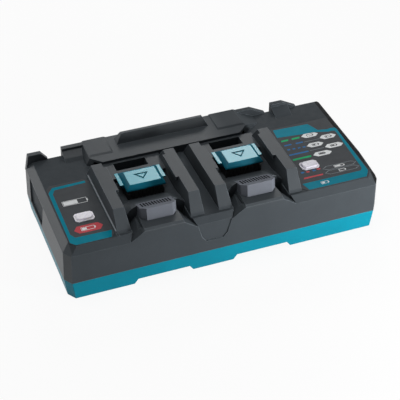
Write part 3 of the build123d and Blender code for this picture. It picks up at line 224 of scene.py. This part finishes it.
MOULDED_EDGE = 0.0006           # rounding of edges, in metres
LENS_EDGE = 0.0007
METAL_EDGE = 0.0002
WEAR_AND_HIGHLIGHT_REACH = 1.6 * MOULDED_EDGE  # how far wear and the painted edge highlight reach from an edge
GRAIN_SCALE = 2600.0            # spark-eroded grain, per metre
SPECK_SCALE = 0.6 * GRAIN_SCALE
SPECK_RANGE = (0.42, 0.62)      # noise that shows as specks
SPECK_SHARE = 0.35
SPECK_TONE = 1.12
WEAR_AND_HIGHLIGHT_SHARES = (0.15, 0.75)     # least and most wear and painted edge highlight along an edge
PRINT_GRAIN = 0.000008          # height of relief
FINE_GRAIN = 0.00001


def moulded(name, code, roughness, grain=0.00003, edge=1.35, level=0.4):
    """Moulded plastic: faint mottling, spark-eroded grain, and edges made lighter as wear and as
    a painted highlight.
    """
    shader = new_shader(name)
    base = shader.mottled(code, darker=0.94, lighter=1.06, scale=38.0, detail=4.0)
    grains = shader.noise(SPECK_SCALE, detail=1.0)
    specks = shader.spread(grains, 0.0, SPECK_SHARE, source=SPECK_RANGE)
    base = shader.blend(specks, base, tone(code, SPECK_TONE))
    # Lighter edges: partly rubbed wear, partly a painted highlight along convex and concave
    # edges.
    scuffs_and_edge_highlight = shader.spread(shader.noise(scale=160.0, detail=5.0), *WEAR_AND_HIGHLIGHT_SHARES)
    wear_and_edge_highlight = shader.product(shader.edges(WEAR_AND_HIGHLIGHT_REACH), scuffs_and_edge_highlight)
    base = shader.blend(wear_and_edge_highlight, base, tone(code, edge))
    haze = shader.noise(scale=220.0, detail=3.0)
    return shader.coat({
        "Base Color": base,
        "Roughness": shader.spread(haze, roughness - 0.06, roughness + 0.07),
        "Specular IOR Level": level,
        "Normal": shader.bump(shader.noise(GRAIN_SCALE), grain, shader.soft_normal(MOULDED_EDGE)),
    })


def printed(name, code, roughness=0.42):
    """Ink or lacquer: slightly uneven, with a fine film texture."""
    shader = new_shader(name)
    return shader.coat({
        "Base Color": shader.mottled(code, darker=0.94, lighter=1.05, scale=140.0, detail=3.0),
        "Roughness": shader.spread(shader.noise(scale=500.0), roughness - 0.05, roughness + 0.06),
        "Specular IOR Level": 0.05,
        "Normal": shader.bump(shader.noise(scale=3200.0, detail=1.0), PRINT_GRAIN),
    })


def milky(name, code):
    """Pale diffusing plastic with a soft gloss."""
    shader = new_shader(name)
    relief = shader.noise(scale=1400.0, detail=1.0)
    return shader.coat({
        "Base Color": shader.mottled(code, darker=0.97, lighter=1.03, scale=90.0, detail=3.0),
        "Roughness": shader.spread(shader.noise(scale=400.0), 0.22, 0.34),
        "Subsurface Weight": 0.25,
        "Subsurface Radius": mm(2.5, 2.5, 3.0),
        "Subsurface Scale": 1.0,
        "Normal": shader.bump(relief, FINE_GRAIN, shader.soft_normal(LENS_EDGE)),
    })


def metal(name, code, roughness, stretch=None):
    """Bare, plated or enamelled metal with fine drawing lines."""
    shader = new_shader(name)
    streaks = shader.noise(scale=900.0, detail=3.0, stretch=stretch)
    lines = shader.spread(streaks, *UNIT_RANGE)
    return shader.coat({
        "Base Color": shader.blend(lines, tone(code, 0.86), tone(code, 1.06)),
        "Metallic": 1.0,
        "Roughness": shader.spread(streaks, roughness - 0.08, roughness + 0.1),
        "Normal": shader.bump(streaks, FINE_GRAIN, shader.soft_normal(METAL_EDGE)),
    })


MATERIALS = {
    # The charcoal's edges are made much lighter, mostly as a painted highlight.
    "housing": moulded("charcoal_moulding", "3a3f43", 0.58, edge=4.0, level=0.08),
    "tray": moulded("teal_moulding", "00778b", 0.38, grain=0.00002, edge=1.18, level=0.09),
    "cover": moulded("teal_cover", "005c70", 0.4, grain=0.00001, edge=1.3, level=0.1),
    "outlet": moulded("grey_outlet", "62666e", 0.5, level=0.1),
    "black": moulded("black_moulding", "0c0d0f", 0.5, edge=1.5, level=0.25),
    "film": printed("label_film", "494c4f", 0.5),
    "lens_left": milky("milky_lens_left", "f8f5ff"),
    "lens_right": milky("milky_lens_right", "cbc8d3"),
    "copper": metal("plated_contact", "b98252", 0.3),
    "zinc": metal("zinc_steel", "b4b7bb", 0.32),
    "aluminium": metal("extruded_aluminium", "b9bcc0", 0.4, stretch=(8, 0.4, 8)),
    "enamel": metal("enamelled_wire", "b0642e", 0.4, stretch=(1, 1, 6)),
    "solder_mask": printed("green_solder_mask", "1f6b3c", 0.35),
    "sleeve": printed("capacitor_sleeve", "1d2230", 0.3),
    "amber": moulded("amber_case", "c9a227", 0.4),
    "ferrite": moulded("ferrite", "2b2b2d", 0.7),
    "rubber": moulded("soft_rubber", "17181a", 0.75, edge=1.2),
    "insulation": moulded("red_insulation", "9c1f1f", 0.5),
    "clear": milky("clear_epoxy", "e8e8e0"),
}

NODE_MATERIALS = {
    "upper_housing": "housing",
    "lower_shell": "tray",
    "terminal_cover": "cover",
    "terminal_block": "black",
    "terminal_blades": "copper",
    "cover_spring": "zinc",
    "air_outlet": "outlet",
    "air_duct": "black",
    "fan_": "black",
    "battery_leads": "insulation",
    "label": "film",
    "indicator_lens_left": "lens_left",
    "indicator_lens_right": "lens_right",
    "light_board_screws": "zinc",
    "light_board": "solder_mask",
    "status_leds": "clear",
    "main_circuit_board": "solder_mask",
    "transformer_core": "ferrite",
    "line_choke_core": "ferrite",
    "transformer_winding": "enamel",
    "line_choke_winding": "enamel",
    "bulk_capacitors": "sleeve",
    "film_capacitor": "amber",
    "mains_fuse": "clear",
    "fuse_clips": "copper",
    "heat_sinks": "aluminium",
    "power_transistors": "black",
    "buzzer": "black",
    "cord_inlet_bush": "rubber",
    "case_screws": "zinc",
    "board_screws": "zinc",
}


# --- finish, painted highlights and painted shade that change within a piece ------------

def after(axis, start, reach):
    """Limit of a region along an axis: 0 up to a start, rising to 1 over a short reach."""
    return (axis, start, start + reach)


def before(axis, end, reach):
    """Limit of a region along an axis: 1 up to an end, falling to 0 over a short reach."""
    return (axis, end + reach, end)


CASE_LOW, CASE_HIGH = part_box("upper_housing")
LABEL_LOW, LABEL_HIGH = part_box("label_left")
FILM_TOP = LABEL_HIGH[2]
ARROW_HEIGHT = 0.0004
COVER_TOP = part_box("terminal_cover_left")[1][2] - ARROW_HEIGHT

# Where the surface lies. The bays rise above the side panels; the bead runs beside the left
# label, and the dish is set into the left end.
BAYS = [after("Z", FILM_TOP + 0.0016, 0.0005)]
DULL_PLATEAU = [after("X", 0.020, 0.030), after("Y", CASE_HIGH[1] - 0.043, 0.002),
                after("Z", FILM_TOP + 0.0001, 0.0005)]
BEAD = [after("X", LABEL_HIGH[0] + 0.0013, 0.0001), before("X", LABEL_HIGH[0] + 0.0024, 0.0001),
        after("Y", LABEL_LOW[1] + 0.0060, 0.0002), before("Y", LABEL_HIGH[1] + 0.0040, 0.0002),
        after("Z", FILM_TOP - 0.0002, 0.0002), before("Z", FILM_TOP + 0.0016, 0.0002)]
LEFT_END = [before("X", CASE_LOW[0] + 0.0080, 0.0010)]
LEFT_DISH = [after("X", CASE_LOW[0] + 0.0014, 0.0001), after("Y", 0.0045, 0.0005),
             before("Z", 0.0545, 0.0003)]
RIGHT_EDGE = [after("X", CASE_HIGH[0] - 0.0065, 0.0006), after("Z", 0.0500, 0.0010)]
FILM_EDGE = [after("X", CASE_HIGH[0] - 0.0074, 0.0006)]
COVER_ROOF = [after("Z", COVER_TOP - 0.0052, 0.0002)]
ARROW = [after("Z", COVER_TOP + 0.00015, 0.0001)]

# The comb of slots, in shares of the outlet's own box.
COMB = [after("X", 0.05, 0.01), before("X", 0.95, 0.01),
        after("Y", 0.41, 0.01), before("Y", 0.92, 0.01)]

# Which way the surface faces.
FACES_LEFT = [before("X", -0.5, 0.1)]
FACES_UP = [after("Z", 0.15, 0.1)]
LIES_FLAT = [after("Z", 0.93, 0.04)]
STANDS_STEEP = [before("Z", 0.4, 0.2)]

# Roughness and reflectance.
BAY_FINISH = (0.45, 0.2)
DULL_FINISH = (0.6, 0.1)
LEFT_END_FINISH = (0.42, 0.25)
LEFT_DISH_FINISH = (0.6, 0.06)
COVER_ROOF_FINISH = (0.3, 0.55)
ARROW_FINISH = (0.6, 0.1)

# Painted light: a highlight on the bead and the cover roofs, shade along the right edge, on the
# arrow and inside the comb's slots.
BEAD_PAINTED_HIGHLIGHT = "989ea4"
RIGHT_EDGE_PAINTED_SHADE = "0b0c0e"
COVER_ROOF_PAINTED_HIGHLIGHT = "0098ab"
ARROW_PAINTED_SHADE = "11525f"
COMB_PAINTED_SHADE = "050506"


def detail_housing():
    """Smooth bays, a dull right rear, a painted highlight on the bead, a glossy left end and
    painted shade along the right edge.
    """
    shader = Shader(MATERIALS["housing"])
    shader.polish(shader.region(shader.place, BAYS), *BAY_FINISH)
    shader.polish(shader.region(shader.place, DULL_PLATEAU), *DULL_FINISH)
    # Painted highlight: the bead beside the left label is painted pale.
    shader.repaint(shader.region(shader.place, BEAD), BEAD_PAINTED_HIGHLIGHT)
    left_end = shader.product(shader.region(shader.place, LEFT_END),
                              shader.region(shader.facing, FACES_LEFT))
    shader.polish(left_end, *LEFT_END_FINISH)
    dish = shader.product(left_end, shader.region(shader.place, LEFT_DISH))
    shader.polish(dish, *LEFT_DISH_FINISH)
    # Painted shade: a nearly black strip on the upward faces along the right end's upper edge.
    right_edge_shade = shader.product(shader.region(shader.place, RIGHT_EDGE),
                                shader.region(shader.facing, FACES_UP))
    shader.repaint(right_edge_shade, RIGHT_EDGE_PAINTED_SHADE)


def detail_film():
    """Label film: the painted shade along the right edge starts on it."""
    shader = Shader(MATERIALS["film"])
    shader.repaint(shader.region(shader.place, FILM_EDGE), RIGHT_EDGE_PAINTED_SHADE)


def detail_cover():
    """Covers: a glossier roof painted paler as a highlight, and a matt arrow painted dark as
    shade.
    """
    shader = Shader(MATERIALS["cover"])
    # Painted highlight: the flat roof of each cover is painted a paler teal.
    roof_with_highlight = shader.product(shader.region(shader.place, COVER_ROOF),
                          shader.region(shader.facing, LIES_FLAT))
    shader.repaint(roof_with_highlight, COVER_ROOF_PAINTED_HIGHLIGHT)
    shader.polish(roof_with_highlight, *COVER_ROOF_FINISH)
    # Painted shade: the raised arrow is painted dark teal.
    arrow = shader.region(shader.place, ARROW)
    shader.repaint(arrow, ARROW_PAINTED_SHADE)
    shader.polish(arrow, *ARROW_FINISH)


def detail_outlet():
    """Air outlets: painted shade on the steep faces inside the comb of slots."""
    shader = Shader(MATERIALS["outlet"])
    slot_shade = shader.product(shader.region(shader.share, COMB),
                           shader.region(shader.facing, STANDS_STEEP))
    # Painted shade: the slots' walls are painted nearly black.
    shader.repaint(slot_shade, COMB_PAINTED_SHADE)


def dress(name, piece):
    """Give a CAD node its material; the longest matching name wins."""
    keys = [key for key in NODE_MATERIALS if name.startswith(key)]
    material = MATERIALS[NODE_MATERIALS[max(keys, key=len)]]
    for slot in piece.material_slots:
        slot.material = material


detail_housing()
detail_film()
detail_cover()
detail_outlet()
for node_name, node_object in frame["nodes"].items():
    dress(node_name, node_object)


# --- return springs ---------------------------------------------------------------------


def coil(side):
    """A cover's return spring, copied from the CAD node onto the base in place of it."""
    node = "cover_spring_" + side
    piece = bpy.data.objects.new("return_spring_" + side, frame["nodes"][node].data.copy())
    bpy.context.scene.collection.objects.link(piece)
    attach(piece, "base")
    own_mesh(piece)
    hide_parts(node)


for bay_side in ("left", "right"):
    coil(bay_side)


# --- shapes of the label prints, in millimetres -----------------------------------------

CELL_LINE = 0.5                 # line of a battery symbol
BUTTON_LENGTH = 0.9             # its button
BUTTON_SHARE = 0.45             # the button's share of the symbol's height
TIP_LINE = 1.6                  # an outline's width along X at a tip, in line widths


def bar(x0, x1, y, width, slope=0.0):
    """A straight bar along X, with its ends sloped."""
    half = width / 2
    return [(x0, y - half), (x1 - slope, y - half), (x1, y + half), (x0 + slope, y + half)]


def band(outer, inner):
    """An open band between two lines with the same number of points."""
    return [[outer[i], outer[i + 1], inner[i + 1], inner[i]] for i in range(len(outer) - 1)]


def ring(outer, inner):
    """A closed band between two outlines with the same number of points."""
    return band(outer + outer[:1], inner + inner[:1])


def hexagon(x0, x1, y, height, tip):
    """A long six-sided field with pointed ends."""
    half = height / 2
    return [(x0, y), (x0 + tip, y - half), (x1 - tip, y - half), (x1, y), (x1 - tip, y + half),
            (x0 + tip, y + half)]


def hexagon_line(x0, x1, y, height, tip, width):
    """The outline of a long six-sided field."""
    inset = TIP_LINE * width
    return ring(hexagon(x0, x1, y, height, tip),
                hexagon(x0 + inset, x1 - inset, y, height - 2 * width, tip))


def cell(x0, x1, y, height, level):
    """A battery symbol: case, button and charge level."""
    case = ring(bar(x0, x1, y, height),
                bar(x0 + CELL_LINE, x1 - CELL_LINE, y, height - 2 * CELL_LINE))
    button = bar(x1, x1 + BUTTON_LENGTH, y, height * BUTTON_SHARE)
    if level == 0:
        return case + [button]
    start = x0 + 2 * CELL_LINE
    end = start + (x1 - x0 - 4 * CELL_LINE) * level
    return case + [button, bar(start, end, y, height - 4 * CELL_LINE)]


def bars(rows):
    """Several bars."""
    return [bar(*row) for row in rows]


def cells(rows):
    """Several battery symbols."""
    return [shape for row in rows for shape in cell(*row)]


# --- label prints -----------------------------------------------------------------------

INK = 0.00005                   # how far a print stands out of the film

INKS = {
    "teal": printed("teal_ink", "007f95"),
    "white": printed("white_ink", "eceff0"),
    "grey": printed("grey_ink", "7d8488"),
    "green": printed("green_ink", "20b070"),
    "blue": printed("blue_ink", "2f70aa"),
    "red": printed("red_ink", "c44e55"),
    "dark": printed("dark_ink", "2a2c30"),
}

# Left label: a border that is wide at the front and thin at the rear, open on the rail's side.
LEFT_OUTER = [(-120.4, -71.7), (-156.6, -71.7), (-161.2, -66.8), (-160.7, 15.4), (-155.0, 23.2),
              (-120.0, 23.8)]
LEFT_INNER = [(-117.4, -61.6), (-154.2, -60.8), (-157.6, -54.8), (-156.8, 12.8), (-153.4, 18.8),
              (-120.0, 20.4)]
LEFT_CELL = (-152.0, -126.5, -6.5, 8.0, 0.62)           # both ends, Y, height, charge level
LEFT_MARK = (-152.5, -123.0, -50.8, 11.2, 4.0)          # both ends, Y, height, tip
LEFT_MARK_CELL = (-145.5, -131.5, -50.8, 5.2, 0.4)

# Right label: header, border and a key of charge signals.
HEADER = [(96.9, 24.0), (143.0, 19.2), (145.0, 22.4), (139.0, 36.6), (98.3, 38.6)]
RIGHT_OUTER = [(145.0, 22.4), (155.0, 20.2), (160.0, 21.2), (164.4, 20.2), (165.2, 16.5),
               (163.0, -60.5), (162.4, -63.2), (156.9, -71.4), (91.5, -71.4)]
RIGHT_INNER = [(143.0, 19.2), (154.3, 15.4), (158.6, 16.0), (161.4, 14.8), (162.0, 12.0),
               (158.7, -55.4), (158.2, -56.8), (155.6, -60.1), (88.6, -60.1)]

# Bars of the key: both ends, Y, width and the slope of the ends.
GREEN_BARS = [(98.0, 107.2, 16.2, 2.6, 1.2), (110.4, 120.8, 16.4, 2.6, 1.2),
              (96.0, 118.4, -18.8, 2.8, 1.2)]
BLUE_BARS = [(98.4, 106.6, 7.8, 2.0), (111.8, 120.0, 7.6, 2.0),
             (98.4, 101.6, -0.2, 1.9), (104.4, 107.4, -0.6, 1.9), (110.4, 113.4, -0.9, 1.9),
             (116.0, 119.2, -1.1, 1.9), (96.4, 118.8, -9.8, 2.2),
             (95.2, 98.6, -42.4, 2.2), (108.2, 111.4, -43.0, 2.2)]
RED_BARS = [(101.0, 104.4, -43.0, 2.2), (113.4, 117.2, -42.2, 2.2),
            (93.6, 116.2, -52.2, 2.2, 0.8)]
GREY_BARS = [(121.2, 139.4, 7.0, 0.6), (120.4, 137.6, -9.6, 0.6)]

# Fields of the key: both ends, Y and the charge level of the symbol in the field.
KEY_FIELDS = [(122.4, 142.4, 16.8, 0.0), (140.2, 159.8, 7.8, 0.25), (120.8, 140.4, -1.2, 0.5),
              (138.6, 160.2, -9.2, 0.75), (120.4, 142.2, -18.4, 1.0)]
FIELD_HEIGHT = 7.4
FIELD_TIP = 4.2
FIELD_CELL_START = 6.4          # from the field's left tip
FIELD_CELL_END = 13.4
FIELD_CELL_HEIGHT = 3.6

# Outlined fields at the front: both ends, Y, height, tip and line.
SIGNAL_FIELDS = [(119.0, 158.2, -44.2, 6.6, 5.0, 0.55), (118.2, 158.2, -51.8, 6.6, 5.0, 0.55)]
FRONT_CELLS = [(132.5, 143.5, -44.2, 3.8, 0.7), (134.5, 141.5, -51.8, 3.6, 0.0),
               (107.5, 115.5, -65.4, 4.0, 0.5)]


def ink(name, colour, outlines, lift=0.0):
    """Flat printed shapes on the label film; outlines are lists of points in millimetres."""
    vertices = []
    faces = []
    low, high = FILM_TOP - INK, FILM_TOP + INK + lift
    for outline in outlines:
        start = len(vertices)
        count = len(outline)
        for z in (low, high):
            vertices += [(*mm(x, y), z) for x, y in outline]
        faces.append([start + i for i in reversed(range(count))])
        faces.append([start + count + i for i in range(count)])
        for i in range(count):
            j = (i + 1) % count
            faces.append([start + i, start + j, start + count + j, start + count + i])
    mesh = bpy.data.meshes.new(name)
    mesh.from_pydata(vertices, [], faces)
    mesh.update()
    piece = bpy.data.objects.new(name, mesh)
    bpy.context.scene.collection.objects.link(piece)
    mesh.materials.append(INKS[colour])
    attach(piece, "base")


def print_left_label():
    """Border, a battery symbol and a red field with another."""
    ink("label_left_border", "teal", band(LEFT_OUTER, LEFT_INNER))
    ink("label_left_symbols", "white", cell(*LEFT_CELL))
    ink("label_left_mark", "red", [hexagon(*LEFT_MARK)])
    ink("label_left_mark_cell", "white", cell(*LEFT_MARK_CELL), lift=INK)


def print_right_label():
    """Header and border, bars in the lights' colours, and fields with battery symbols."""
    ink("label_right_border", "teal", [HEADER] + band(RIGHT_OUTER, RIGHT_INNER))
    ink("label_right_green", "green", bars(GREEN_BARS))
    ink("label_right_blue", "blue", bars(BLUE_BARS))
    ink("label_right_red", "red", bars(RED_BARS))
    signal_lines = [side for field in SIGNAL_FIELDS for side in hexagon_line(*field)]
    ink("label_right_grey", "grey", bars(GREY_BARS) + signal_lines)
    ink("label_right_fields", "white",
        [hexagon(x0, x1, y, FIELD_HEIGHT, FIELD_TIP) for x0, x1, y, _ in KEY_FIELDS])
    ink("label_right_cells", "dark",
        cells((x0 + FIELD_CELL_START, x0 + FIELD_CELL_END, y, FIELD_CELL_HEIGHT, level)
              for x0, _, y, level in KEY_FIELDS), lift=INK)
    ink("label_right_signals", "white", cells(FRONT_CELLS), lift=INK)


print_left_label()
print_right_label()


# --- stage ------------------------------------------------------------------------------

WHITE = (1.0, 1.0, 1.0, 1.0)
FLOOR_SIZE = 8.0
FLOOR_LEVEL = -0.00005          # a hair under the feet, so that the two faces do not coincide
FLOOR_GLOW = 0.34               # share of the floor that glows, as a lit sweep would
FLOOR_GLOW_SEEN = 0.92          # the same where the camera or a reflection meets it
PHOTO_WIDTH = 400               # pixels
SENSOR_WIDTH = 36.0             # millimetres


def floor_material():
    """White floor that keeps the object's shadow and stays bright to the camera."""
    shader = new_shader("studio_floor")
    patches = shader.spread(shader.noise(scale=6.0), *UNIT_RANGE)
    shader.coat({
        "Base Color": shader.blend(patches, tone("f1f1f1"), tone("f4f4f4")),
        "Roughness": 0.9,
        "Specular IOR Level": 0.1,
    })
    share = shader.spread(shader.seen_directly(), FLOOR_GLOW, FLOOR_GLOW_SEEN, source=UNIT_RANGE)
    glow = shader.node("ShaderNodeEmission", {"Strength": 1.0}).outputs["Emission"]
    mixed = shader.mix_shaders(share, shader.surface.outputs["BSDF"], glow)
    shader.put(shader.tree.nodes["Material Output"].inputs["Surface"], mixed)
    return shader.material


def add_floor():
    """A wide floor under the object."""
    bpy.ops.mesh.primitive_plane_add(size=FLOOR_SIZE, location=(0, 0, FLOOR_LEVEL))
    floor = bpy.context.object
    floor.name = "floor"
    floor.data.materials.append(floor_material())


def light_world(strength):
    """Even pale surroundings, white to the camera and in reflections."""
    world = bpy.data.worlds.new("studio")
    bpy.context.scene.world = world
    world.use_nodes = True
    graph = Graph(world.node_tree)
    ambient = graph.tree.nodes["Background"]
    graph.put(ambient.inputs["Color"], WHITE)
    graph.put(ambient.inputs["Strength"], strength)
    backdrop = graph.node("ShaderNodeBackground", {"Color": WHITE, "Strength": 1.0})
    mixed = graph.mix_shaders(graph.seen_directly(), ambient.outputs["Background"],
                              backdrop.outputs["Background"])
    graph.put(graph.tree.nodes["World Output"].inputs["Surface"], mixed)


def area_light(name, position, target, size, power):
    """A square soft box aimed at a point."""
    data = bpy.data.lights.new(name, "AREA")
    data.size = size
    data.energy = power
    lamp = bpy.data.objects.new(name, data)
    lamp.location = position
    aim = Vector(target) - Vector(position)
    lamp.rotation_euler = aim.to_track_quat("-Z", "Y").to_euler()
    bpy.context.scene.collection.objects.link(lamp)


def add_camera(azimuth, elevation, roll, target, distance, focal_pixels):
    """Camera on a circle round a target; azimuth 0 looks along +Y. Angles are in degrees."""
    azimuth, elevation, roll = (math.radians(angle) for angle in (azimuth, elevation, roll))
    back = Vector((math.sin(azimuth) * math.cos(elevation),
                   -math.cos(azimuth) * math.cos(elevation),
                   math.sin(elevation)))
    level_right = (-back).cross(Vector((0, 0, 1))).normalized()
    level_up = level_right.cross(-back)
    right = level_right * math.cos(roll) + level_up * math.sin(roll)
    up = level_up * math.cos(roll) - level_right * math.sin(roll)
    data = bpy.data.cameras.new("camera")
    data.sensor_width = SENSOR_WIDTH
    data.lens = focal_pixels * SENSOR_WIDTH / PHOTO_WIDTH
    camera = bpy.data.objects.new("camera", data)
    camera.matrix_world = (Matrix.Translation(Vector(target) + back * distance)
                           @ Matrix((right, up, back)).transposed().to_4x4())
    bpy.context.scene.collection.objects.link(camera)
    bpy.context.scene.camera = camera


add_floor()
light_world(strength=0.04)
area_light("key", position=(0.42, -0.52, 0.085), target=(0.08, 0, 0.03), size=0.16, power=5.2)
area_light("top", position=(-0.2, 0.1, 1.8), target=(0, 0, 0.03), size=1.0, power=13)
area_light("back", position=(0.50, 1.18, 1.02), target=(0, 0, 0.05), size=0.45, power=5.0)
area_light("rear_left", position=(-1.10, 1.10, 0.48), target=(-0.15, 0, 0.05), size=0.8,
           power=4.6)
add_camera(azimuth=-20.97, elevation=38.44, roll=0.33, target=(-0.00958, -0.02156, 0.040),
           distance=1.22755, focal_pixels=1177.2)
bpy.context.scene.view_settings.view_transform = "Standard"
